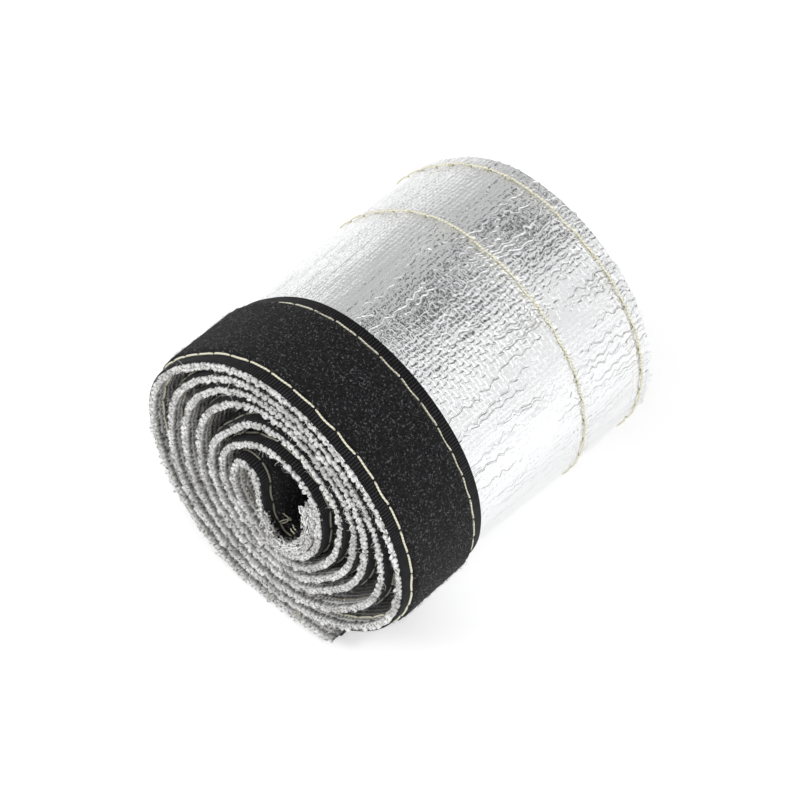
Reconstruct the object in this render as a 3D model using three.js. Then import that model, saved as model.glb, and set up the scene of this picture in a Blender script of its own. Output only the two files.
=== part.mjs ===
// A heat shield sleeve, rolled up and lying on its side, in millimetres with +Z up.
// The sleeve is one long strip of glass cloth with aluminium foil bonded to its outer face. A loop tape is
// sewn along the near edge on the foil and a hook tape along the far edge on the cloth, so the strip closes
// round a hose. Here it is wound up foil outwards: the roll's axis is Y, and the loop tape is at the -Y end.
import * as THREE from "three";

// The strip and what is sewn to it
const stripWidth = 66;
const clothThickness = 0.85;
const foilThickness = 0.1;
const tapeWidth = 20;
const tapeInset = 0.3; // from the strip's edge to the tape's edge
const tapeBacking = 0.5; // the woven band that holds the pile or the hooks
const pileHeight = 0.75; // the loops, above their backing
const hookHeight = 0.65; // the hooks, above their backing
const selvedge = 2.6; // the bare woven margin along each side of a tape
const seamInset = 2.15; // from the tape's edge to its seam, in the margin
const threadWidth = 0.45;
const threadHeight = 0.35;

// How the roll is wound, as seen from the loop tape's end
const turnClearance = 0.3; // left between two turns that lie on each other
const stepsPerTurn = 20;
const knotAngle = 45; // degrees from one measured direction to the next
// The innermost turn's reach from the roll's centre to its foil: left, lower left, bottom and so on round
const coreReach = [11.2, 13.9, 15.8, 12.4, 11.1, 13.4, 14.2, 12.8];
// The air between each turn and the next one out, in the same eight directions
const airBetweenTurns = [
  [0.6, 0.1, 0.1, 0.3, 2.0, 4.2, 3.8, 0.5],
  [0.2, 1.2, 0.2, 0.1, 1.0, 1.0, 1.4, 2.5],
  [0.7, 0.8, 0.2, 0.2, 0.2, 0.1, 0.1, 0.7],
  [1.2, 1.8, 1.6, 1.7, 1.8, 0.1, 0.1, 0.1],
  [1.3, 1.8, 0.7, 1.7, 1.7, 0.8, 0.1, 0.4],
  [2.3],
];

// The strip's inner end is folded back in the heart of the roll. It hangs from the bend as a leg, and then
// lies nested inside the innermost turn, cloth to cloth.
const foldRadius = 2.25; // inside the bend, at the cloth
const foldRise = 2.4; // from the innermost turn's start to the bend
const foldSteps = 9;
const legSteps = 7;
const legHandles = [2.5, 9]; // how far the leg keeps its direction at its foot and at the bend
const nestedGap = 2.95; // from the innermost turn's foil to the nested end's foil
const nestedFoot = 270; // degrees round the roll, where the leg meets the innermost turn
const nestedTip = 396; // degrees round the roll, where the strip's inner end is cut
const nestedSteps = 7;

// The strip's outer end leaves the roll at the left and lies flat on the ground under it
const tailAir = 0.9; // between the tail and the turn above it
const tailTouch = -8; // where the tail meets the ground, across from the roll's centre
const tailTip = 12.7;
const tailSteps = 7;
const ovalHandle = 0.5523; // of each side, the handle that makes a cubic curve a quarter of an oval

// Heights are measured outwards from the foil's outer face at the loop tape's edge
const sheetThickness = clothThickness + foilThickness;
const loopTapeThickness = tapeBacking + pileHeight;
const turnPitch = sheetThickness + loopTapeThickness + turnClearance;
// The strip dishes outwards past the loop tape, so its far edge reaches the ground too, seam and all
const dish = loopTapeThickness - threadHeight;
const hookTapeFace = dish - sheetThickness;

const loopTapeStart = tapeInset;
const loopTapeEnd = loopTapeStart + tapeWidth;
const hookTapeEnd = stripWidth - tapeInset;
const hookTapeStart = hookTapeEnd - tapeWidth;

// The reach of every turn in every direction, from the innermost outwards, ending at the roll's left side
function turnReaches() {
  const reaches = [...coreReach];
  for (const air of airBetweenTurns.flat()) {
    reaches.push(reaches[reaches.length - coreReach.length] + turnPitch + air);
  }
  return reaches;
}

// Reach against angle, as one smooth curve from the innermost turn's start at the roll's left
function reachCurve() {
  const knots = turnReaches().map((reach, i) => new THREE.Vector2(180 + i * knotAngle, reach));
  return new THREE.SplineCurve(knots);
}

// A point across the roll from its angle in degrees and its reach
function fromCentre(angle, reach) {
  const turn = THREE.MathUtils.degToRad(angle);
  return new THREE.Vector2(reach * Math.cos(turn), reach * Math.sin(turn));
}

// The wound turns as points across the roll, from inside out
function woundTurns() {
  const curve = reachCurve();
  const steps = Math.round(((curve.points.length - 1) * knotAngle * stepsPerTurn) / 360);
  return curve.getPoints(steps).map(({ x: angle, y: reach }) => fromCentre(angle, reach));
}

// The strip's inner end from its tip, nested inside the innermost turn, to the foot of the leg
function nestedEnd() {
  const curve = reachCurve();
  const span = (curve.points.length - 1) * knotAngle;
  const end = [];
  for (let i = 0; i <= nestedSteps; i += 1) {
    const angle = nestedTip + ((nestedFoot - nestedTip) * i) / nestedSteps;
    end.push(fromCentre(angle, curve.getPoint((angle - 180) / span).y - nestedGap));
  }
  return end;
}

// The fold in the roll's heart, from the top of the leg over the bend and down to the first turn
function innerFold(start, next) {
  const up = start.clone().sub(next).normalize();
  const bendRadius = foldRadius + sheetThickness;
  const bendFoot = start.clone().addScaledVector(up, foldRise);
  const centre = bendFoot.clone().add(new THREE.Vector2(up.y, -up.x).multiplyScalar(bendRadius));
  const footAngle = Math.atan2(bendFoot.y - centre.y, bendFoot.x - centre.x);
  const bend = [];
  for (let i = 0; i <= foldSteps; i += 1) {
    const angle = (footAngle * i) / foldSteps;
    const arm = new THREE.Vector2(Math.cos(angle), Math.sin(angle)).multiplyScalar(bendRadius);
    bend.push(centre.clone().add(arm));
  }
  return bend;
}

// The leg, from its foot on the nested end up to the bend
function foldLeg(before, foot, top) {
  const along = foot.clone().sub(before).normalize();
  const leg = new THREE.CubicBezierCurve(
    foot,
    foot.clone().addScaledVector(along, legHandles[0]),
    top.clone().add(new THREE.Vector2(0, -legHandles[1])),
    top,
  );
  return leg.getPoints(legSteps).slice(1, -1);
}

// The outer end, from the roll's left side down in a quarter of an oval and flat along the ground
function outerTail(start, before) {
  const reaches = turnReaches();
  const bottomReach = reaches[reaches.length - 1 - 270 / knotAngle];
  const depth = -(bottomReach + turnPitch + tailAir);
  const down = start.clone().sub(before).normalize();
  const touch = new THREE.Vector2(tailTouch, depth);
  const sweep = new THREE.CubicBezierCurve(
    start,
    start.clone().addScaledVector(down, -depth * ovalHandle),
    touch.clone().add(new THREE.Vector2((start.x - tailTouch) * ovalHandle, 0)),
    touch,
  );
  return [...sweep.getPoints(tailSteps).slice(1), new THREE.Vector2(tailTip, depth)];
}

// The foil's outer face across the whole roll, from the strip's inner end to its outer tip
function foilCourse() {
  const turns = woundTurns();
  const nested = nestedEnd();
  const fold = innerFold(turns[0], turns[1]);
  const leg = foldLeg(nested.at(-2), nested.at(-1), fold[0]);
  const tail = outerTail(turns.at(-1), turns.at(-2));
  return [...nested, ...leg, ...fold, ...turns, ...tail];
}

// At each point of the course, the way outwards, long enough that offset lines stay parallel
function outwardMitres(course) {
  const normals = course.slice(1).map((point, i) => {
    const along = point.clone().sub(course[i]).normalize();
    return new THREE.Vector2(along.y, -along.x);
  });
  return course.map((_, i) => {
    const before = normals[Math.max(i - 1, 0)];
    const after = normals[Math.min(i, normals.length - 1)];
    return before.clone().add(after).divideScalar(1 + before.dot(after));
  });
}

const course = foilCourse();
const mitres = outwardMitres(course);

// A closed solid that follows the strip through the roll. Its outline is a list of (place across the
// strip's width, height above the foil) going anticlockwise.
function alongStrip(name, outline, material) {
  const positions = [];
  course.forEach((point, i) => {
    outline.forEach(([across, height]) => {
      positions.push(point.x + height * mitres[i].x, across, point.y + height * mitres[i].y);
    });
  });
  const count = outline.length;
  const faces = [];
  for (let i = 0; i < course.length - 1; i += 1) {
    for (let k = 0; k < count; k += 1) {
      const here = i * count + k;
      const beside = i * count + ((k + 1) % count);
      faces.push(here, here + count, beside + count, here, beside + count, beside);
    }
  }
  const corners = outline.map(([across, height]) => new THREE.Vector2(across, height));
  const last = (course.length - 1) * count;
  for (const [a, b, c] of THREE.ShapeUtils.triangulateShape(corners, [])) {
    faces.push(a, b, c, last + a, last + c, last + b);
  }
  const geometry = new THREE.BufferGeometry();
  geometry.setAttribute("position", new THREE.Float32BufferAttribute(positions, 3));
  geometry.setIndex(faces);
  geometry.computeVertexNormals();
  const mesh = new THREE.Mesh(geometry, material);
  mesh.name = name;
  return mesh;
}

// A layer of the strip from edge to edge, dished between the two tapes
function layerOutline(low, high) {
  const rise = [
    [0, 0],
    [loopTapeEnd, 0],
    [hookTapeStart, dish],
    [stripWidth, dish],
  ];
  const under = rise.map(([across, height]) => [across, height + low]);
  const over = rise.map(([across, height]) => [across, height + high]);
  return [...under, ...over.reverse()];
}

// A tape seen on end: a flat woven band with its pile or hooks standing between two bare margins
function tapeOutline(start, face, side, relief) {
  const end = start + tapeWidth;
  const outline = [
    [start, face],
    [end, face],
    [end, face + side * tapeBacking],
    [end - selvedge, face + side * tapeBacking],
    [end - selvedge, face + side * (tapeBacking + relief)],
    [start + selvedge, face + side * (tapeBacking + relief)],
    [start + selvedge, face + side * tapeBacking],
    [start, face + side * tapeBacking],
  ];
  return side > 0 ? outline : outline.reverse();
}

function threadOutline(middle, face) {
  return [
    [middle - threadWidth / 2, face],
    [middle + threadWidth / 2, face],
    [middle, face + threadHeight],
  ];
}

const clothFinish = new THREE.MeshStandardMaterial({ color: 0xb4b2a9, roughness: 0.9, metalness: 0 });
const foilFinish = new THREE.MeshStandardMaterial({ color: 0xd2d4d6, roughness: 0.35, metalness: 1 });
const tapeFinish = new THREE.MeshStandardMaterial({ color: 0x18191b, roughness: 0.95, metalness: 0 });
const threadFinish = new THREE.MeshStandardMaterial({ color: 0xd9d29c, roughness: 0.7, metalness: 0 });

const seams = [
  ["loop_tape_outer_seam", loopTapeStart + seamInset, tapeBacking],
  ["loop_tape_inner_seam", loopTapeEnd - seamInset, tapeBacking],
  ["hook_tape_inner_seam", hookTapeStart + seamInset, dish],
  ["hook_tape_outer_seam", hookTapeEnd - seamInset, dish],
];

const sleeve = new THREE.Group();
sleeve.add(
  alongStrip("glass_cloth", layerOutline(-sheetThickness, -foilThickness), clothFinish),
  alongStrip("foil_facing", layerOutline(-foilThickness, 0), foilFinish),
  alongStrip("loop_tape", tapeOutline(loopTapeStart, 0, 1, pileHeight), tapeFinish),
  alongStrip("hook_tape", tapeOutline(hookTapeStart, hookTapeFace, -1, hookHeight), tapeFinish),
  ...seams.map(([name, middle, face]) => alongStrip(name, threadOutline(middle, face), threadFinish)),
);

// The roll lies on the ground, with the frame's origin under the middle of its box
const box = new THREE.Box3().setFromObject(sleeve);
const middle = box.getCenter(new THREE.Vector3());
sleeve.position.set(-middle.x, -middle.y, -box.min.z);

export default sleeve;
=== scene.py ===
# %% [markdown]
# # A rolled-up heat shield sleeve
#
# The sleeve is a long strip of glass cloth with aluminium foil on one face. It is closed round a hose by a
# loop tape along one edge and a hook tape along the other. Here it is rolled up, foil outwards, and lies on
# its side. This lesson rebuilds the roll with real yarn ends and threads where the eye can see them one by
# one, and with drawn relief where it can't. All lengths are in millimetres until a mesh is made.

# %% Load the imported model, which fixes every place and size
import math
import bmesh
import bpy
import numpy as np
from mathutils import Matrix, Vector


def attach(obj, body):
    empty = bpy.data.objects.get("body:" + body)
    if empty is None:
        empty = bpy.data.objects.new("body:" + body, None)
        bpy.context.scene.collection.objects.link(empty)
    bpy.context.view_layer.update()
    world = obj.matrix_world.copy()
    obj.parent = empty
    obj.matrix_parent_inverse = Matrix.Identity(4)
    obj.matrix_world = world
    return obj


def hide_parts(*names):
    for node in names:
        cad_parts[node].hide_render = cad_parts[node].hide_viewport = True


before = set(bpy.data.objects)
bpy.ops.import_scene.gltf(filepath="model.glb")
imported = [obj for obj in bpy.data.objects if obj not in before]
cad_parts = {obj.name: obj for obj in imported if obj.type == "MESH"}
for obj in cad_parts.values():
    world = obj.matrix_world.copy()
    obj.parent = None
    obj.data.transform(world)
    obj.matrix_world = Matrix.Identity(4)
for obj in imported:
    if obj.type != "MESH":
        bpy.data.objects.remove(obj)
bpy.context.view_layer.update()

METRES = 0.001

# %% [markdown]
# ## The path of the strip
#
# Every piece follows the same path across the roll, so the path comes first. A roll could be drawn as a
# plain spiral, but a hand-wound one is lumpy: the gaps between turns differ all the way round. So the path
# is set by the innermost turn's reach in eight directions and by the air between each turn and the next,
# and a smooth curve runs through those reaches. Stacking the layers outwards like this keeps the turns from
# ever cutting into each other.

# %% Sizes of the strip and of the roll
strip_width = 66.0
cloth_thickness = 0.85
foil_thickness = 0.1
tape_width = 20.0
tape_inset = 0.3
tape_backing = 0.5
pile_height = 0.75
selvedge = 2.6
seam_inset = 2.15
thread_height = 0.35

turn_clearance = 0.3
core_reach = [11.2, 13.9, 15.8, 12.4, 11.1, 13.4, 14.2, 12.8]
air_between_turns = [
    [0.6, 0.1, 0.1, 0.3, 2.0, 4.2, 3.8, 0.5],
    [0.2, 1.2, 0.2, 0.1, 1.0, 1.0, 1.4, 2.5],
    [0.7, 0.8, 0.2, 0.2, 0.2, 0.1, 0.1, 0.7],
    [1.2, 1.8, 1.6, 1.7, 1.8, 0.1, 0.1, 0.1],
    [1.3, 1.8, 0.7, 1.7, 1.7, 0.8, 0.1, 0.4],
    [2.3],
]
fold_radius = 2.25
fold_rise = 2.4
leg_handles = [2.5, 9.0]
nested_gap = 2.95
nested_foot, nested_tip = 270.0, 396.0
tail_air = 0.9
tail_touch = -8.0
tail_tip = 12.2
tail_lift = 1.5
oval_handle = 0.5523

sheet_thickness = cloth_thickness + foil_thickness
loop_tape_thickness = tape_backing + pile_height
turn_pitch = sheet_thickness + loop_tape_thickness + turn_clearance
dish_depth = loop_tape_thickness - thread_height
loop_start = tape_inset
loop_end = loop_start + tape_width
hook_end = strip_width - tape_inset
hook_start = hook_end - tape_width
print("pitch of the turns:", round(turn_pitch, 2), "mm")

# %% The wound turns, from the inside out
def turn_reaches():
    reaches = list(core_reach)
    for row in air_between_turns:
        for air in row:
            reaches.append(reaches[-len(core_reach)] + turn_pitch + air)
    return reaches


def smooth_through(values, places):
    """A smooth curve through equally spaced values."""
    values = np.asarray(values, float)
    i = np.clip(np.floor(places).astype(int), 0, len(values) - 2)
    u = places - i
    p0, p1 = values[np.maximum(i - 1, 0)], values[i]
    p2, p3 = values[i + 1], values[np.minimum(i + 2, len(values) - 1)]
    v0, v1 = (p2 - p0) / 2, (p3 - p1) / 2
    return (2 * p1 - 2 * p2 + v0 + v1) * u**3 + (-3 * p1 + 3 * p2 - 2 * v0 - v1) * u**2 + v0 * u + p1


def wound_turns(per_knot=60):
    reaches = turn_reaches()
    places = np.linspace(0, len(reaches) - 1, (len(reaches) - 1) * per_knot + 1)
    angles = np.radians(smooth_through(180 + 45.0 * np.arange(len(reaches)), places))
    reach = smooth_through(reaches, places)
    return np.column_stack([reach * np.cos(angles), reach * np.sin(angles)])


turns = wound_turns()
print("wound turns:", len(turns), "points, outer reach", round(turn_reaches()[-1], 1), "mm")

# %% The fold in the heart, the flat tail, and the whole path with its outward directions
def unit(v):
    return v / np.linalg.norm(v)


def cubic(a, b, c, d, count):
    t = np.linspace(0, 1, count)[:, None]
    return (1 - t) ** 3 * a + 3 * (1 - t) ** 2 * t * b + 3 * (1 - t) * t**2 * c + t**3 * d


def inner_fold(start, after):
    """From the cut end, nested inside the innermost turn, up the leg and over the bend."""
    up = unit(start - after)
    radius = fold_radius + sheet_thickness
    foot = start + up * fold_rise
    centre = foot + np.array([up[1], -up[0]]) * radius
    foot_angle = math.atan2(foot[1] - centre[1], foot[0] - centre[0])
    angles = np.linspace(0, foot_angle, 60)
    bend = centre + radius * np.column_stack([np.cos(angles), np.sin(angles)])
    rise = foot + np.linspace(0, 1, 12)[1:-1, None] * (start - foot)
    angles = np.arange(nested_tip, nested_foot - 0.1, -2.0)
    reach = smooth_through(turn_reaches(), (angles - 180) / 45) - nested_gap
    nested = np.column_stack([reach * np.cos(np.radians(angles)), reach * np.sin(np.radians(angles))])
    leave = nested[-1] + unit(nested[-1] - nested[-2]) * leg_handles[0]
    leg = cubic(nested[-1], leave, bend[0] - [0, leg_handles[1]], bend[0], 60)[1:-1]
    return np.vstack([nested, leg, bend, rise])


def outer_tail(start, before):
    """From the last turn down to the ground, and flat along it to the raised tip."""
    reach_above = turn_reaches()[-7]
    depth = -(reach_above + turn_pitch + tail_air)
    down = unit(start - before)
    touch = np.array([tail_touch, depth])
    a, b = start + down * (-depth * oval_handle), touch + [(start[0] - tail_touch) * oval_handle, 0]
    flat = touch + np.linspace(0, 1, 80)[1:, None] * [tail_tip - tail_touch, 0]
    flat[:, 1] += tail_lift * ((flat[:, 0] - tail_touch) / (tail_tip - tail_touch)) ** 2
    return np.vstack([cubic(start, a, b, touch, 240)[1:], flat]), -depth


tail, depth = outer_tail(turns[-1], turns[-2])
path = np.vstack([inner_fold(turns[0], turns[1]), turns, tail])
run = np.concatenate([[0], np.cumsum(np.hypot(*np.diff(path, axis=0).T))])
strip_length = run[-1]
even = np.arange(0, strip_length, 0.25)
path = np.column_stack([np.interp(even, run, path[:, 0]), np.interp(even, run, path[:, 1])])
smoothing_rounds = 30
for _ in range(smoothing_rounds):
    path[1:-1] = path[1:-1] * 0.5 + (path[2:] + path[:-2]) * 0.25
along = np.gradient(path, axis=0)
along /= np.linalg.norm(along, axis=1)[:, None]
outward = np.column_stack([along[:, 1], -along[:, 0]])

roll_across, roll_height = 1.606, 35.75
print("strip length:", round(strip_length), "mm")
print("lowest foil:", round(roll_height - depth, 2), "mm above the ground")

# %% [markdown]
# ## Laying things on the strip
#
# With the path known, a point on the strip has three strip coordinates: how far along it, how far across
# its width, and how high above the foil. One function turns those into a place in the room, and the swept
# bands, the foil, the threads and the strands keep their strip coordinates as an attribute, so that a weave
# can be drawn along the yarns of the rolled cloth just as it would be on the flat cloth.

# %% From strip coordinates to the room
def dish(across):
    """The strip dishes outwards beyond the loop tape, so that its far edge lies on the ground too."""
    t = np.clip((across - loop_end) / (hook_start - loop_end), 0, 1)
    return dish_depth * t * t * (3 - 2 * t)


def lay(length, across, height):
    length, across, height = np.broadcast_arrays(length, across, height)
    x, z = np.interp(length, even, path[:, 0]), np.interp(length, even, path[:, 1])
    nx, nz = np.interp(length, even, outward[:, 0]), np.interp(length, even, outward[:, 1])
    lift = height + dish(across)
    return np.stack([x + lift * nx + roll_across, across - strip_width / 2, z + lift * nz + roll_height], -1)


def ripple(a, b, size, seed, waves=9):
    """A soft random height from -1 to 1 over two coordinates, with hills about one size across."""
    rng = np.random.default_rng(seed)
    total = np.zeros(np.broadcast(a, b).shape)
    for _ in range(waves):
        turn, phase = rng.uniform(0, 2 * math.pi, 2)
        wave = 2 * math.pi / (size * rng.uniform(0.7, 1.6))
        total = total + np.sin(wave * (a * math.cos(turn) + b * math.sin(turn)) + phase)
    return total / math.sqrt(waves) / 1.6


def make_mesh(name, points, faces, strip=None, smooth=True):
    """One object from points in millimetres, riding on the roll's only body."""
    mesh = bpy.data.meshes.new(name)
    points = np.asarray(points, float).reshape(-1, 3)
    mesh.from_pydata((points * METRES).tolist(), [], np.asarray(faces).tolist() if len(faces) else [])
    if strip is not None:
        attribute = mesh.attributes.new("strip", "FLOAT_VECTOR", "POINT")
        attribute.data.foreach_set("vector", np.asarray(strip, np.float32).ravel())
    mesh.polygons.foreach_set("use_smooth", [smooth] * len(mesh.polygons))
    mesh.update()
    piece = bpy.data.objects.new(name, mesh)
    bpy.context.scene.collection.objects.link(piece)
    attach(piece, "root")
    print(f"{name}: {len(mesh.polygons)} faces")
    return piece


def grid_faces(rows, columns, around=False):
    i, j = np.meshgrid(np.arange(rows - 1), np.arange(columns if around else columns - 1), indexing="ij")
    a = i * columns + j
    b = i * columns + (j + 1) % columns
    return np.stack([a, a + columns, b + columns, b], -1).reshape(-1, 4)


def swept(name, lengths, outline, relief=None):
    """A closed band along the strip. Its outline is a ring of (across, height) points, anticlockwise."""
    ring = np.asarray(outline, float)
    length = lengths[:, None]
    across, height = ring[None, :, 0], ring[None, :, 1]
    extra = relief(length, across, height) if relief else 0.0
    length, across, height = np.broadcast_arrays(length, across, height + extra)
    points = lay(length, across, height).reshape(-1, 3)
    faces = grid_faces(len(lengths), len(ring), around=True)
    piece = make_mesh(name, points, faces, np.stack([length, across, height], -1).reshape(-1, 3))
    lid = bmesh.new()
    lid.from_mesh(piece.data)
    lid.verts.ensure_lookup_table()
    last = (len(lengths) - 1) * len(ring)
    lid.faces.new([lid.verts[k] for k in range(len(ring))])
    lid.faces.new([lid.verts[last + k] for k in reversed(range(len(ring)))])
    lid.to_mesh(piece.data)
    lid.free()
    return piece


def stations(fine, coarse, fine_run=250.0):
    """Places along the strip: finely spaced on the outer turn, which shows, and coarser inside."""
    inside = np.arange(0, strip_length - fine_run, coarse)
    return np.concatenate([inside, np.linspace(strip_length - fine_run, strip_length, int(fine_run / fine))])

# %% [markdown]
# ## Finishes
#
# Each finish is made of small node recipes: a weave drawn from the strip coordinates, noise stretched the
# way the material is stretched, and a bump that turns both into relief. A photograph of cloth could be
# wrapped on as an image, but drawn finishes have no seams, keep their scale on every piece, and can be
# changed by one number.

# %% Helpers that keep the node recipes short
class Recipe:
    """A material whose nodes are added one call at a time."""

    def __init__(self, name, **shader_values):
        self.material = bpy.data.materials.new(name)
        self.material.use_nodes = True
        self.tree = self.material.node_tree
        self.shader = self.tree.nodes["Principled BSDF"]
        for socket, value in shader_values.items():
            self.shader.inputs[socket.replace("_", " ")].default_value = value

    def node(self, kind, settings=None, **inputs):
        made = self.tree.nodes.new(kind)
        for key, value in (settings or {}).items():
            setattr(made, key, value)
        for key, value in inputs.items():
            socket = made.inputs[int(key[1:])] if key[1:].isdigit() else made.inputs[key.replace("_", " ")]
            if isinstance(value, bpy.types.NodeSocket):
                self.tree.links.new(value, socket)
            else:
                socket.default_value = value
        return made

    def math(self, operation, a, b=0.0, c=0.0):
        return self.node("ShaderNodeMath", {"operation": operation}, i0=a, i1=b, i2=c).outputs[0]

    def strip(self):
        place = self.node("ShaderNodeAttribute", {"attribute_name": "strip"})
        parts = self.node("ShaderNodeSeparateXYZ", Vector=place.outputs["Vector"])
        return place.outputs["Vector"], parts.outputs[0], parts.outputs[1], parts.outputs[2]

    def place(self, x, y, z=0.0):
        return self.node("ShaderNodeCombineXYZ", X=x, Y=y, Z=z).outputs[0]

    def noise(self, place, scale, detail=3.0, roughness=0.55, distortion=0.0):
        made = self.node("ShaderNodeTexNoise", Vector=place, Scale=scale, Detail=detail,
                         Roughness=roughness, Distortion=distortion)
        return made.outputs["Fac"]

    def ramp(self, value, low, high, to_low=0.0, to_high=1.0):
        made = self.node("ShaderNodeMapRange", {"interpolation_type": "SMOOTHSTEP"}, Value=value)
        for index, number in enumerate((low, high, to_low, to_high), start=1):
            made.inputs[index].default_value = number
        return made.outputs[0]

    def blend(self, share, a, b):
        made = self.node("ShaderNodeMix", {"data_type": "RGBA"})
        for socket, value in (("Factor", share), ("A", a), ("B", b)):
            target = next(i for i in made.inputs if i.name == socket and i.type != "VECTOR"
                          and (socket == "Factor" and i.type == "VALUE" or i.type == "RGBA"))
            if isinstance(value, bpy.types.NodeSocket):
                self.tree.links.new(value, target)
            else:
                target.default_value = value
        return next(o for o in made.outputs if o.type == "RGBA")

    def bump(self, height, depth_mm, strength=1.0):
        """Relief, with height from 0 to 1 standing for depth_mm millimetres."""
        made = self.node("ShaderNodeBump", Height=height, Distance=depth_mm * METRES, Strength=strength)
        self.tree.links.new(made.outputs[0], self.shader.inputs["Normal"])
        return made

    def feed(self, socket, value):
        self.tree.links.new(value, self.shader.inputs[socket])


def weave(r, along, across, pitch):
    """A plain weave's relief: rounded yarns both ways, each over and under the next, with small holes."""
    a = r.math("SINE", r.math("MULTIPLY", along, math.pi / pitch))
    b = r.math("SINE", r.math("MULTIPLY", across, math.pi / pitch))
    over = r.math("MULTIPLY", r.math("MULTIPLY", a, b), 0.3)
    one = r.math("MULTIPLY", r.math("ABSOLUTE", a), r.math("ADD", 0.7, over))
    other = r.math("MULTIPLY", r.math("ABSOLUTE", b), r.math("SUBTRACT", 0.7, over))
    return r.math("SMOOTH_MAX", one, other, 0.12)


def wandering(r, along, across, size, amount):
    """Strip coordinates shifted by soft noise, so that no yarn runs quite straight."""
    one = r.math("SUBTRACT", r.noise(r.place(along, across, 3.0), 1 / size, 2.0), 0.5)
    other = r.math("SUBTRACT", r.noise(r.place(along, across, 9.0), 1 / size, 2.0), 0.5)
    return r.math("MULTIPLY_ADD", one, amount, along), r.math("MULTIPLY_ADD", other, amount, across)


def near_line(r, across, line, spread):
    """1 on a line along the strip, falling to 0 at about the spread on each side of it."""
    away = r.math("DIVIDE", r.math("ABSOLUTE", r.math("SUBTRACT", across, line)), spread)
    return r.math("SUBTRACT", 1.0, r.ramp(away, 0.0, 1.0))

# %% [markdown]
# ### Foil
#
# The foil is bright soft aluminium, pressed on to the cloth, so the weave shows through it as small
# pillows. Winding it has also cracked it into fine wavy creases along the roll's axis. The creases are
# noise that is squeezed along the strip and drawn out across it, with only its ridge kept.

# %% The foil's finish
stitch = 5.2
stitch_count = int(strip_length / stitch) - 1
stitch_start = (strip_length - stitch_count * stitch) / 2
foil_seams = (hook_start + seam_inset, hook_end - seam_inset)


def foil_finish():
    r = Recipe("embossed_foil", Metallic=1.0, Roughness=0.2, Base_Color=(0.84, 0.845, 0.852, 1))
    _, along_strip, across, _ = r.strip()
    bent_along, bent_across = wandering(r, along_strip, across, 2.4, 1.1)
    pillows = weave(r, bent_along, bent_across, 1.02)
    grain = r.noise(r.place(along_strip, across), 1.3, 3.0, 0.55)
    drift = r.math("SUBTRACT", r.noise(r.place(along_strip, across), 0.09, 2.0), 0.5)
    phase = r.math("MULTIPLY", r.noise(r.place(along_strip, across, 5.0), 0.22, 1.0), 9.0)
    wave = r.math("SINE", r.math("MULTIPLY_ADD", across, 2 * math.pi / 2.7, phase))
    bent = r.math("MULTIPLY_ADD", wave, 0.26, r.math("MULTIPLY_ADD", drift, 5.0, along_strip))
    line = r.noise(r.place(r.math("MULTIPLY", bent, 0.36), r.math("MULTIPLY", across, 0.022)), 1.0, 1.0)
    ridge = r.ramp(r.math("ABSOLUTE", r.math("SUBTRACT", line, 0.5)), 0.0, 0.05, 1.0, 0.0)
    where = r.ramp(r.noise(r.place(along_strip, r.math("MULTIPLY", across, 0.5)), 0.07, 2.0), 0.36, 0.52)
    strained = r.math("MULTIPLY", r.ramp(along_strip, strip_length - 175, strip_length - 150),
                      r.ramp(along_strip, strip_length - 125, strip_length - 100, 1.0, 0.25))
    creases = r.math("MULTIPLY", r.math("MULTIPLY", ridge, where), strained)
    dents = r.noise(r.place(along_strip, r.math("MULTIPLY", across, 0.4)), 0.22, 2.0)
    patches = r.ramp(r.noise(r.place(across, along_strip), 0.05, 2.0), 0.35, 0.65, 0.4, 1.0)
    pressed = r.ramp(along_strip, strip_length - 158, strip_length - 128, 0.42, 1.0)
    crisp = r.math("MULTIPLY", patches, pressed)
    height = r.math("MULTIPLY", r.math("MULTIPLY", pillows, crisp), 0.36)
    height = r.math("MULTIPLY_ADD", grain, 0.34, height)
    height = r.math("MULTIPLY_ADD", creases, -0.42, height)
    height = r.math("MULTIPLY_ADD", dents, 0.9, height)
    for seam in foil_seams:
        groove = near_line(r, across, seam, 1.2)
        place = r.math("FRACT", r.math("DIVIDE", r.math("SUBTRACT", along_strip, stitch_start), stitch))
        hole = r.math("SUBTRACT", 1.0, r.ramp(r.math("PINGPONG", place, 0.5), 0.0, 0.16))
        drawn_across = r.place(r.math("MULTIPLY", along_strip, 1.6), r.math("MULTIPLY", across, 0.4))
        pucker = r.noise(drawn_across, 1.0, 2.0)
        sunk = r.math("MULTIPLY", groove, r.math("MULTIPLY_ADD", hole, 1.0, 0.2))
        gathered = r.math("MULTIPLY", near_line(r, across, seam, 2.2), pucker)
        height = r.math("MULTIPLY_ADD", sunk, -0.6, height)
        height = r.math("MULTIPLY_ADD", gathered, 0.8, height)
    r.bump(height, 0.55)
    dull = r.noise(r.place(along_strip, across), 0.25, 4.0)
    r.feed("Roughness", r.ramp(dull, 0.3, 0.7, 0.14, 0.24))
    return r.material


foil = foil_finish()
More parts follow.
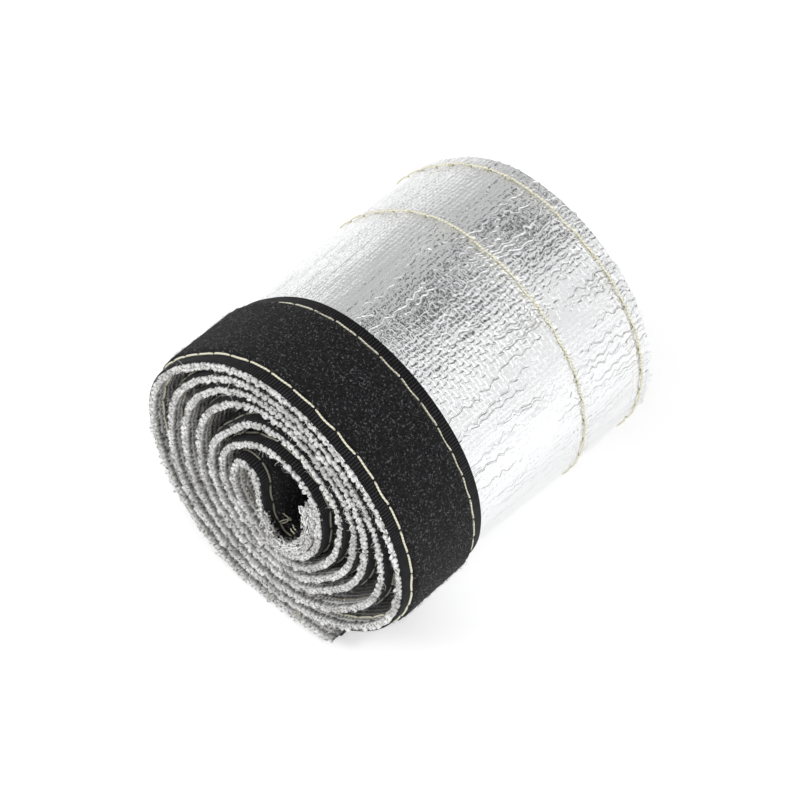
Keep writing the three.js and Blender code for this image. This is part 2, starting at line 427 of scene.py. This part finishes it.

# %% [markdown]
# ### Glass cloth
#
# The cloth is woven from thick bundles of glass filaments: nearly white on the crowns, grey where light
# doesn't reach between the yarns. That grey is painted shade: the holes are coloured darker as well as drawn
# deeper, which is what makes it read as cloth and not as embossed plastic.

# %% The cloth's finish, and its loose yarns' finish
def cloth_finish():
    r = Recipe("glass_cloth_weave", Roughness=0.6, Specular_IOR_Level=0.35)
    _, along_strip, across, _ = r.strip()
    bent_along, bent_across = wandering(r, along_strip, across, 3.0, 0.9)
    pillows = weave(r, bent_along, bent_across, 1.1)
    fibres = r.noise(r.place(r.math("MULTIPLY", along_strip, 3.0), r.math("MULTIPLY", across, 3.0)), 2.2, 4.0)
    blotches = r.noise(r.place(along_strip, across), 0.16, 3.0)
    # painted shade: the holes between the yarns are coloured dark grey, the crowns nearly white
    crown = r.ramp(r.math("MULTIPLY_ADD", fibres, 0.4, pillows), 0.35, 0.85)
    grey = r.blend(crown, (0.1, 0.1, 0.098, 1), (0.8, 0.795, 0.78, 1))
    r.feed("Base Color", r.blend(r.ramp(blotches, 0.3, 0.8, 0.0, 0.4), grey, (0.4, 0.395, 0.38, 1)))
    r.bump(r.math("MULTIPLY_ADD", fibres, 0.3, pillows), 0.6)
    return r.material


def yarn_finish():
    r = Recipe("glass_yarn", Roughness=0.42, Specular_IOR_Level=0.5)
    place = r.node("ShaderNodeNewGeometry").outputs["Position"]
    drawn_out = r.node("ShaderNodeVectorMath", {"operation": "MULTIPLY"}, i0=place, i1=(1, 0.3, 1)).outputs[0]
    strands = r.noise(drawn_out, 2000.0, 3.0, 0.65)
    tint = r.noise(place, 200.0, 3.0)
    white = r.blend(r.ramp(tint, 0.4, 0.7), (0.88, 0.88, 0.87, 1), (0.58, 0.575, 0.56, 1))
    fluffy = r.blend(r.ramp(strands, 0.33, 0.5), (0.45, 0.45, 0.44, 1), white)
    # painted shade: yarn lying less than about 32 mm from the strip's middle line, tucked in among the turns,
    # is coloured dark grey
    parts = r.node("ShaderNodeSeparateXYZ", Vector=place)
    from_middle = r.math("ABSOLUTE", parts.outputs[1])
    depth = r.ramp(from_middle, 0.0319, 0.0331, 0.0, 1.0)
    r.feed("Base Color", r.blend(depth, (0.2, 0.2, 0.196, 1), fluffy))
    r.bump(strands, 0.12)
    return r.material


cloth = cloth_finish()
yarn = yarn_finish()

# %% [markdown]
# ### Black tapes and thread
#
# The loop tape's pile is a mat of fine black loops that catch a little grey light, which is painted on as
# grey specks. Its bare margins are a ribbed weave, with painted highlights on the rib crowns. The seams are
# sewn with a pale yellow twisted thread. Inside the roll, where the pile has closed over it, the thread is
# painted darker as painted shade.

# %% The finishes of the pile, the ribbed band, the thread and the loose black fibres
def pile_finish():
    r = Recipe("black_loop_pile", Roughness=0.9, Specular_IOR_Level=0.12, Sheen_Weight=0.04)
    place = r.node("ShaderNodeNewGeometry").outputs["Position"]
    tufts = r.noise(place, 1500.0, 4.0, 0.75)
    clumps = r.noise(place, 420.0, 3.0)
    # painted highlights: light grey specks on the black pile stand for light caught by the loops
    specks = r.ramp(r.noise(place, 2300.0, 2.0), 0.56, 0.7)
    black = r.blend(r.ramp(tufts, 0.38, 0.66), (0.003, 0.003, 0.0035, 1), (0.022, 0.022, 0.024, 1))
    black = r.blend(r.ramp(clumps, 0.35, 0.7), black, (0.011, 0.011, 0.012, 1))
    r.feed("Base Color", r.blend(specks, black, (0.13, 0.13, 0.135, 1)))
    r.bump(r.math("MULTIPLY_ADD", clumps, 0.6, tufts), 0.7)
    return r.material


def band_finish():
    r = Recipe("black_ribbed_band", Roughness=0.7, Specular_IOR_Level=0.15)
    _, along_strip, across, _ = r.strip()
    ribs = r.math("SINE", r.math("MULTIPLY", along_strip, 2 * math.pi / 0.58))
    picks = r.math("SINE", r.math("MULTIPLY", across, 2 * math.pi / 0.5))
    blotches = r.noise(r.place(along_strip, across), 0.8, 3.0)
    height = r.math("MULTIPLY_ADD", ribs, 0.4, r.math("MULTIPLY_ADD", picks, 0.12, 0.5))
    # painted highlight: the rib crowns are coloured lighter than the hollows, by a blotchy amount
    lit = r.math("MULTIPLY", r.ramp(height, 0.45, 0.95), r.ramp(blotches, 0.3, 0.7, 0.3, 1.0))
    r.feed("Base Color", r.blend(lit, (0.003, 0.003, 0.0033, 1), (0.046, 0.046, 0.052, 1)))
    r.bump(height, 0.14)
    return r.material


def thread_finish():
    r = Recipe("pale_yellow_thread", Roughness=0.45)
    _, along_strip, across, _ = r.strip()
    twist = r.math("SINE", r.math("MULTIPLY_ADD", across, 9.0, r.math("MULTIPLY", along_strip, 9.0)))
    shade = r.noise(r.place(along_strip, across), 0.4, 2.0)
    light = r.blend(r.ramp(shade, 0.35, 0.65), (0.93, 0.91, 0.73, 1), (0.85, 0.83, 0.68, 1))
    sewn = r.blend(r.ramp(twist, -1.0, 0.2), (0.62, 0.58, 0.4, 1), light)
    # painted shade: on the inner turns, up to about 240 mm from the outer end, the thread's colour is mixed
    # most of the way to near-black
    inner_turn_shade = r.ramp(along_strip, strip_length - 300, strip_length - 240, 0.78, 0.0)
    r.feed("Base Color", r.blend(inner_turn_shade, sewn, (0.07, 0.065, 0.045, 1)))
    r.bump(r.math("MULTIPLY_ADD", twist, 0.5, 0.5), 0.08)
    return r.material


def fibre_finish():
    r = Recipe("black_fibre", Roughness=0.5, Specular_IOR_Level=0.35)
    place = r.node("ShaderNodeNewGeometry").outputs["Position"]
    shade = r.noise(place, 500.0, 2.0)
    grey = r.blend(r.ramp(shade, 0.35, 0.7), (0.02, 0.02, 0.021, 1), (0.2, 0.2, 0.21, 1))
    r.feed("Base Color", grey)
    return r.material


pile = pile_finish()
fibre = fibre_finish()
band = band_finish()
thread = thread_finish()

# %% [markdown]
# ## The cloth
#
# The cloth is one long sheet. It is swept along the path as a thin closed band, close enough together to
# look round. Its weave is in the finish, because half a million yarn crossings would be far too many faces.

# %% The cloth sheet
def sheet_outline(low, high, step):
    across = np.linspace(0, strip_width, int(strip_width / step))
    under = np.column_stack([across, np.full_like(across, low)])
    over = np.column_stack([across[::-1], np.full_like(across, high)])
    return np.vstack([under, over])


def dress(piece, finish, slot, *nodes):
    piece.data.materials.append(finish)
    if nodes:
        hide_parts(*nodes)
    return piece


cloth_sheet = dress(
    swept("cloth_sheet", stations(1.2, 1.6), sheet_outline(-sheet_thickness, -0.35, 3.0)),
    cloth, "glass_cloth", "glass_cloth")

# %% [markdown]
# ## The foil
#
# The foil is so thin that a single layer of faces is enough. The outer turn gets closely spaced points, so
# that soft dents between the weave and the roll's own shape are real and catch the light as it does.

# %% The foil face
def foil_face():
    lengths = stations(0.7, 2.5)[:, None]
    across = np.linspace(0.02, strip_width - 0.02, 96)[None, :]
    dents = 0.09 * ripple(lengths, across * 0.45, 9, 3) + 0.05 * ripple(lengths * 1.5, across * 0.4, 4, 4)
    open_foil = np.clip((across - loop_end - 0.3) / 2, 0, 1)
    pulled = sum(np.exp(-(((across - seam) / 1.4) ** 2)) for seam in foil_seams)
    height = -0.01 + (dents - 0.06) * open_foil - 0.12 * pulled
    length, wide, height = np.broadcast_arrays(lengths, across, height)
    points = lay(length, wide, height).reshape(-1, 3)
    faces = grid_faces(length.shape[0], length.shape[1])[:, ::-1]
    return make_mesh("foil_face", points, faces, np.stack([length, wide, height], -1).reshape(-1, 3))


foil_sheet = dress(foil_face(), foil, "foil", "foil_facing")

# %% [markdown]
# ## The tapes
#
# Each tape is a flat ribbed band with bare margins where it is sewn, and a raised field between them. The
# outlines are rings of points with eased corners, swept along the same path.

# %% The loop tape and the hook tape
def tape_ring(start, face, side, relief):
    end = start + tape_width
    back, top = face + side * tape_backing, face + side * (tape_backing + relief)
    ease = 0.35
    field = np.linspace(start + selvedge + ease, end - selvedge - ease, 14)
    step = back + side * 0.3
    upper = [(end, face), (end - 0.05, back), (end - selvedge + 0.2, back), (end - selvedge, step)]
    upper += [(x, top) for x in field[::-1]]
    upper += [(start + selvedge, step), (start + selvedge - 0.2, back), (start + 0.05, back)]
    ring = [(start, face)] + upper
    return ring if side > 0 else ring[::-1]


def pile_relief(length, across, height):
    raised = np.clip((height - tape_backing) / pile_height, 0, 1)
    return raised * (0.07 * ripple(length, across, 2.5, 7) - 0.04)


hook_face = -sheet_thickness
loop_ring = tape_ring(loop_start, 0.0, 1, pile_height)
hook_ring = tape_ring(hook_start, hook_face, -1, 0.12)
loop_band = swept("loop_tape_pile", stations(0.9, 1.6), loop_ring, pile_relief)
hook_band = swept("hook_tape_band", stations(1.4, 1.6), hook_ring)
dress(loop_band, pile, "tape", "loop_tape")
dress(hook_band, band, "tape", "hook_tape")


def two_finishes(piece, second, lowest):
    """The faces of the bare margins take the ribbed finish, and the raised field keeps the pile's."""
    piece.data.materials.append(second)
    heights = np.zeros(len(piece.data.vertices) * 3, np.float32)
    piece.data.attributes["strip"].data.foreach_get("vector", heights)
    heights = heights.reshape(-1, 3)[:, 2]
    for polygon in piece.data.polygons:
        if max(heights[v] for v in polygon.vertices) < lowest:
            polygon.material_index = 1


two_finishes(loop_band, band, tape_backing + 0.1)

# %% [markdown]
# ## The seams
#
# A lockstitch shows a row of short threads on each side of the strip, which dip into a needle hole at each
# end. Each seam is a tube above and a tube below. They rise over each stitch, dive at each hole, and bow a
# little sideways because the thread is slack. One tube for each stitch would look the same, at more cost.

# %% The four seams
thread_radius = 0.2


def around_tube(angles, side, up):
    return np.cos(angles)[None, :, None] * side[:, None] + np.sin(angles)[None, :, None] * up[:, None]


def tube(centres, radius, sides=6):
    """A round thread through a list of points that are given in strip coordinates."""
    length, across, height = centres.T
    middle = lay(length, across, height)
    forward = np.gradient(middle, axis=0)
    forward /= np.linalg.norm(forward, axis=1)[:, None] + 1e-12
    up = lay(length, across, height + 0.1) - middle
    side = np.cross(forward, up)
    side /= np.linalg.norm(side, axis=1)[:, None] + 1e-12
    up = np.cross(side, forward)
    angles = np.linspace(0, 2 * math.pi, sides, endpoint=False)
    ring = around_tube(angles, side, up)
    points = middle[:, None] + np.broadcast_to(radius, len(middle))[:, None, None] * ring
    strip = np.repeat(centres[:, None], sides, 1).copy()
    strip[:, :, 1] += np.sin(angles) * 0.2
    return points.reshape(-1, 3), grid_faces(len(middle), sides, around=True), strip.reshape(-1, 3)


def seam_line(across, surface, side, bow, seed):
    """The middle of a seam's thread, stitch by stitch. Inside the roll it is pressed into the tape."""
    rng = np.random.default_rng(seed)
    t = np.array([0.0, 0.035, 0.08, 0.16, 0.32, 0.5, 0.68, 0.84, 0.92, 0.965])
    lift = np.array([-2.6, -1.6, 0.1, 0.75, 1.0, 1.05, 1.0, 0.75, 0.1, -1.6])
    drift = 0.14 * ripple(np.arange(stitch_count) * stitch, 0.0, 30, seed)
    rows = []
    for k in range(stitch_count):
        slack = bow * rng.uniform(0.3, 1.4)
        tilt = rng.uniform(-0.12, 0.12)
        place = across + drift[k] + slack * np.sin(math.pi * t) + tilt * (t - 0.5)
        pressed = 0.12 if stitch_start + k * stitch < strip_length - 260 else 0.0
        height = surface + side * (lift * thread_radius - pressed)
        rows.append(np.column_stack([stitch_start + (k + t) * stitch, place, height]))
    return np.vstack(rows)


seams = [
    ("loop_tape_outer_seam", loop_start + seam_inset, tape_backing, -sheet_thickness),
    ("loop_tape_inner_seam", loop_end - seam_inset, tape_backing, -sheet_thickness),
    ("hook_tape_inner_seam", hook_start + seam_inset, 0.0, hook_face - tape_backing),
    ("hook_tape_outer_seam", hook_end - seam_inset, 0.0, hook_face - tape_backing),
]
for number, (node, across, over, under) in enumerate(seams):
    top = tube(seam_line(across, over, 1, -0.35, 20 + number), thread_radius)
    bottom = tube(seam_line(across, under, -1, 0.1, 40 + number), thread_radius)
    points = np.vstack([top[0], bottom[0]])
    faces = np.vstack([top[1], bottom[1] + len(top[0])])
    dress(make_mesh(node + "_thread", points, faces, np.vstack([top[2], bottom[2]])), thread, "thread", node)

# %% [markdown]
# ## The cut edges
#
# Along both long edges the cloth is cut, and its yarns stand out as two rows of blunt knobs, one by the foil
# and one by the bare face. They are what the eye reads as a woven edge, so they are real here. Each knob is
# a short fat tube with a frayed tip, a little different from the next, and neighbours in the two rows are
# half a step apart. The short ends of the strip have the same knobs.

# %% Knobs of yarn
yarn_pitch = 1.2


def knob(wide, thick, long, turn, rng):
    """A blunt yarn end as rings (along the edge, outwards, up), from inside the cloth to its frayed tip."""
    sides = 8
    angles = np.linspace(0, 2 * math.pi, sides, endpoint=False)
    steps = np.array([-1.0, -0.2, 0.35, 0.75, 1.0])
    girth = np.array([0.8, 1.0, 1.06, 0.86, 0.42])
    lean = rng.uniform(-0.25, 0.25)
    rings = []
    for step, size in zip(steps, girth):
        rough = size * (1 + rng.uniform(-0.09, 0.09, sides))
        a, b = np.cos(angles) * wide / 2 * rough, np.sin(angles) * thick / 2 * rough
        beside = a * math.cos(turn) - b * math.sin(turn) + lean * step
        up = a * math.sin(turn) + b * math.cos(turn)
        rings.append(np.column_stack([beside, np.full(sides, step * long), up]))
    return np.vstack(rings)


def knob_faces(count):
    lid = np.arange(32, 40)
    lid_faces = lid[[[0, 1, 2, 3], [0, 3, 4, 7], [4, 5, 6, 7]]]
    one = np.vstack([grid_faces(5, 8, around=True), lid_faces])
    return np.vstack([one + 40 * k for k in range(count)])


def cut_edge(name, edge, outwards, rows, seed):
    """Rows of knobs along a long edge. Each row is a height above the foil and a thickness."""
    rng = np.random.default_rng(seed)
    count = int(strip_length / yarn_pitch)
    points = []
    for number, (height, thick) in enumerate(rows):
        for k in range(count):
            one = knob(rng.uniform(1.0, 1.18), thick * rng.uniform(0.85, 1.15), rng.uniform(0.5, 0.85),
                       rng.uniform(-0.5, 0.5), rng)
            one[:, 0] += (k + 0.5 + 0.5 * number + rng.uniform(-0.13, 0.13)) * yarn_pitch
            one[:, 1] = edge - outwards * (one[:, 1] + rng.uniform(-0.35, 0.25))
            one[:, 2] += height + rng.uniform(-0.12, 0.1)
            points.append(one)
    faces = knob_faces(len(points))
    return make_mesh(name, lay(*np.vstack(points).T), faces if outwards > 0 else faces[:, ::-1])


near_rows = [(-0.32, 0.78), (-0.92, 0.55)]
far_rows = [(-0.5, 0.6), (-1.1, 0.8)]
near_edge = dress(cut_edge("near_cut_edge", 0.3, 1, near_rows, 5), yarn, "glass_cloth")
far_edge = dress(cut_edge("far_cut_edge", strip_width - 0.45, -1, far_rows, 6), yarn, "glass_cloth")

# %% Knobs across the strip's two short ends
end_rows = [(-0.3, 0.7), (-0.85, 0.7)]


def lay_beyond(length, across, height):
    """As lay, but going straight on past either end of the strip."""
    inside = np.clip(length, even[0], even[-1])
    after, before = np.clip(inside + 0.5, 0, even[-1]), np.clip(inside - 0.5, 0, None)
    ahead = lay(after, across, height) - lay(before, across, height)
    ahead /= np.linalg.norm(ahead, axis=-1)[..., None]
    return lay(inside, across, height) + ahead * (length - inside)[..., None]


def cut_end(name, at, outwards, seed):
    rng = np.random.default_rng(seed)
    points = []
    for number, (height, thick) in enumerate(end_rows):
        for k in range(int(strip_width / yarn_pitch)):
            one = knob(rng.uniform(1.0, 1.3), thick * rng.uniform(0.85, 1.15), rng.uniform(0.4, 0.7),
                       rng.uniform(-0.5, 0.5), rng)
            place = at + outwards * (one[:, 1] + rng.uniform(-0.2, 0.25))
            one[:, 1] = one[:, 0] + (k + 0.5 + 0.4 * number + rng.uniform(-0.12, 0.12)) * yarn_pitch
            one[:, 0] = place
            one[:, 2] += height
            points.append(one)
    faces = knob_faces(len(points))
    return make_mesh(name, lay_beyond(*np.vstack(points).T), faces if outwards > 0 else faces[:, ::-1])


outer_end = dress(cut_end("outer_cut_end", strip_length - 0.2, 1, 7), yarn, "glass_cloth")
inner_end = dress(cut_end("inner_cut_end", 0.2, -1, 8), yarn, "glass_cloth")

# %% [markdown]
# ## Frayed yarn and loose thread ends
#
# Where the strip was cut, the yarns have come loose. The inner end shows a thick white tuft in the roll's
# heart, fine broken fibres stand off the cut edges, and short black ones off the pile. They are thin bent
# tubes, scattered by a seeded random generator, which is quick to make and the same on every run. Hair
# curves could do this too, but tubes are plain meshes that can be kept and measured like the rest.

# %% Bent strands scattered in strip coordinates
def strands(name, starts, ways, radius, bend, seed, finish, slot, sides=5, rings=6):
    """Tubes that start at given strip places, run along given ways, and wander on the way."""
    rng = np.random.default_rng(seed)
    t = np.linspace(0, 1, rings)
    points, faces, strip = [], [], []
    one = grid_faces(rings, sides, around=True)
    for k, (start, way) in enumerate(zip(starts, ways)):
        wander = np.cumsum(rng.normal(0, bend, (rings, 3)), axis=0)
        wander -= wander[0]
        girth = np.broadcast_to(radius, len(starts))[k] * (1 - 0.5 * t**2)
        centres = np.asarray(start) + t[:, None] * np.asarray(way) + wander
        middle = lay(*centres.T)
        forward = np.gradient(middle, axis=0)
        forward /= np.linalg.norm(forward, axis=1)[:, None] + 1e-9
        side = np.cross(forward, rng.normal(size=3))
        side /= np.linalg.norm(side, axis=1)[:, None] + 1e-9
        up = np.cross(side, forward)
        angles = np.linspace(0, 2 * math.pi, sides, endpoint=False)
        ring = around_tube(angles, side, up)
        points.append((middle[:, None] + girth[:, None, None] * ring).reshape(-1, 3))
        faces.append(one + k * rings * sides)
        strip.append(np.repeat(centres + [strip_length, 0, 0], sides, axis=0))
    return dress(make_mesh(name, np.vstack(points), np.vstack(faces), np.vstack(strip)), finish, slot)


def tuft(name, count, seed, length, across, height, way, radius, bend):
    """Strands scattered evenly over ranges of places and ways, all in strip coordinates."""
    rng = np.random.default_rng(seed)
    starts = np.column_stack([rng.uniform(*span, count) for span in (length, across, height)])
    ways = np.column_stack([rng.uniform(-w, w, count) for w in way])
    return strands(name, starts, ways, rng.uniform(*radius, count), bend, seed + 1, yarn, "glass_cloth", 5, 7)


tuft("frayed_inner_end", 420, 11, (0, 22), (-0.6, 1.6), (-1.0, 1.3), (3.2, 0.6, 0.5), (0.07, 0.17), 0.1)
tuft("frayed_inner_tip", 110, 13, (-0.6, 1.0), (-0.3, 6.0), (-0.9, 0.4), (1.8, 0.7, 0.4), (0.06, 0.15), 0.1)
tuft("frayed_leg_foot", 170, 15, (20, 30), (-0.5, 0.9), (-0.9, 1.1), (1.6, 0.5, 0.7), (0.07, 0.18), 0.13)

# %% Fine fibres along both cut edges and on the tape's pile
def edge_fibres(name, edge, outwards, count, seed):
    rng = np.random.default_rng(seed)
    lengths = rng.uniform(0, strip_length, count)
    starts = np.column_stack([lengths, np.full(count, edge), rng.uniform(-1.1, 0.0, count)])
    beside = rng.normal(0, 0.7, count)
    beyond = -outwards * rng.uniform(0.1, 0.9, count)
    ways = np.column_stack([beside, beyond, rng.normal(0, 0.5, count)])
    radius = rng.uniform(0.02, 0.045, count)
    return strands(name, starts, ways, radius, 0.12, seed + 1, yarn, "glass_cloth", 3, 5)


edge_fibres("near_edge_fibres", 0.1, 1, 2600, 30)
edge_fibres("far_edge_fibres", strip_width - 0.1, -1, 1600, 32)


def pile_fibres():
    rng = np.random.default_rng(40)
    shown = 235.0
    count = 9000
    starts = np.column_stack([
        rng.uniform(strip_length - shown, strip_length, count),
        rng.uniform(loop_start + selvedge, loop_end - selvedge, count),
        np.full(count, loop_tape_thickness - 0.12)])
    beside, beyond = rng.normal(0, 0.45, count), rng.normal(0, 0.45, count)
    ways = np.column_stack([beside, beyond, rng.uniform(0.05, 0.3, count)])
    return strands("pile_fibres", starts, ways, 0.026, 0.12, 41, fibre, "tape", 3, 4)


pile_fibres()

# %% Loose thread ends in the heart of the roll and at the tail
def loose_threads():
    starts = [(25.0, 4.1, 1.4), (25.2, 4.0, 1.5), (24.8, 4.2, 1.3),
              (20.5, 3.4, 1.3), (19.8, 4.4, 1.3), (20.0, 2.6, 1.3)]
    ways = [(2.6, -2.2, 0.7), (1.6, -2.6, 1.0), (3.2, -1.4, 0.4),
            (1.6, 0.6, 0.9), (1.2, 0.4, 1.2), (1.8, 0.3, 0.6)]
    strands("loose_thread_ends", starts, ways, 0.15, 0.1, 50, thread, "thread", 6, 10)
    tail_starts = [(952.3, 1.6, -1.05), (952.6, 1.3, -1.1), (953.2, 1.0, -1.15)]
    tail_ways = [(2.8, -1.7, 0.5), (1.8, -1.6, 0.2), (2.4, -1.3, 0.9)]
    strands("tail_thread_end", tail_starts, tail_ways, 0.17, 0.08, 51, thread, "thread", 6, 8)


loose_threads()

# %% [markdown]
# ## The sheets
#
# The cloth and the foil are sheets that were cut flat and then rolled.

# %% [markdown]
# ## Floor, light and camera
#
# The roll lies on a plain white floor under soft white light. Foil shows nothing but what it reflects, so
# the room is what gives it its look: nearly white walls, a greyer side, and one dark panel above, whose
# edges break up into bright and dark specks on the creased foil. Two soft lamps light the cloth and tapes.

# %% The floor
def plain_floor():
    floor = bpy.data.meshes.new("floor")
    half = 3.0
    corners = [(-half, -half, 0), (half, -half, 0), (half, half, 0), (-half, half, 0)]
    floor.from_pydata(corners, [], [(0, 1, 2, 3)])
    piece = bpy.data.objects.new("floor", floor)
    bpy.context.scene.collection.objects.link(piece)
    r = Recipe("white_floor", Roughness=0.9, Base_Color=(0.92, 0.92, 0.92, 1), Emission_Strength=0.35,
               Emission_Color=(1, 1, 1, 1))
    piece.data.materials.append(r.material)
    return piece


plain_floor()

# %% The lights and the room
def soft_light(name, place, target, size, power):
    data = bpy.data.lights.new(name, "AREA")
    data.shape, data.size, data.energy = "SQUARE", size, power
    lamp = bpy.data.objects.new(name, data)
    lamp.location = place
    lamp.rotation_euler = (Vector(target) - Vector(place)).to_track_quat("-Z", "Y").to_euler()
    bpy.context.scene.collection.objects.link(lamp)
    return lamp


def room():
    """A white room for the foil to reflect, greyer on the left, with a dark panel above."""
    world = bpy.data.worlds.new("room")
    world.use_nodes = True
    tree = world.node_tree
    way = tree.nodes.new("ShaderNodeTexCoord").outputs["Generated"]

    def ramp(value, *numbers):
        made = tree.nodes.new("ShaderNodeMapRange")
        made.interpolation_type = "SMOOTHSTEP"
        for index, number in enumerate(numbers, start=1):
            made.inputs[index].default_value = number
        tree.links.new(value, made.inputs[0])
        return made.outputs[0]

    def times(a, b):
        made = tree.nodes.new("ShaderNodeMath")
        made.operation = "MULTIPLY"
        tree.links.new(a, made.inputs[0])
        tree.links.new(b, made.inputs[1])
        return made.outputs[0]

    def facing(*aim):
        made = tree.nodes.new("ShaderNodeVectorMath")
        made.operation = "DOT_PRODUCT"
        made.inputs[1].default_value = Vector(aim).normalized()
        tree.links.new(way, made.inputs[0])
        return made.outputs["Value"]

    uneven = tree.nodes.new("ShaderNodeTexNoise")
    uneven.inputs["Scale"].default_value = 3.0
    uneven.inputs["Detail"].default_value = 1.0
    tree.links.new(way, uneven.inputs["Vector"])
    panel = ramp(facing(-0.05, 0.5, 0.87), 0.91, 0.955, 1.0, 0.1)
    side = ramp(facing(1, 0, 0), -0.7, 0.15, 0.63, 1.0)
    light = times(times(panel, side), ramp(uneven.outputs["Fac"], 0.38, 0.62, 0.88, 1.06))
    sky = tree.nodes["Background"]
    tree.links.new(light, sky.inputs["Strength"])
    sky.inputs["Color"].default_value = (1, 1, 1, 1)
    bpy.context.scene.world = world


heart = (0, 0, 0.035)
room()
soft_light("key", (-0.7, -1.1, 0.9), heart, 0.6, 8.0)
soft_light("right", (1.1, -0.3, 0.8), heart, 0.8, 1.6)
bpy.context.scene.view_settings.view_transform = "Standard"

# %% The camera, worked out from the roll's end ellipse and the tape's edges in the photograph
camera_azimuth = math.radians(43.167)
camera_elevation = math.radians(51.666)
focal_share = 2735.7 / 800
camera_distance, camera_right, camera_up = 486.8, 22.1, 18.0

sin_a, cos_a = math.sin(camera_azimuth), math.cos(camera_azimuth)
sin_e, cos_e = math.sin(camera_elevation), math.cos(camera_elevation)
back = Vector((sin_a * cos_e, -cos_a * cos_e, sin_e))
right = Vector((cos_a, sin_a, 0))
up = right.cross(-back)
near_centre = Vector((roll_across, -strip_width / 2, roll_height))
lens = bpy.data.cameras.new("camera")
lens.sensor_width = 36
lens.lens = 36 * focal_share
lens.clip_start, lens.clip_end = 0.01, 20
camera = bpy.data.objects.new("camera", lens)
camera.location = (near_centre + back * camera_distance + right * camera_right + up * camera_up) * METRES
camera.rotation_mode = "QUATERNION"
camera.rotation_quaternion = (-back).to_track_quat("-Z", "Y")
bpy.context.scene.collection.objects.link(camera)
bpy.context.scene.camera = camera
print("lens:", round(lens.lens, 1), "mm; up is", [round(v, 3) for v in up])
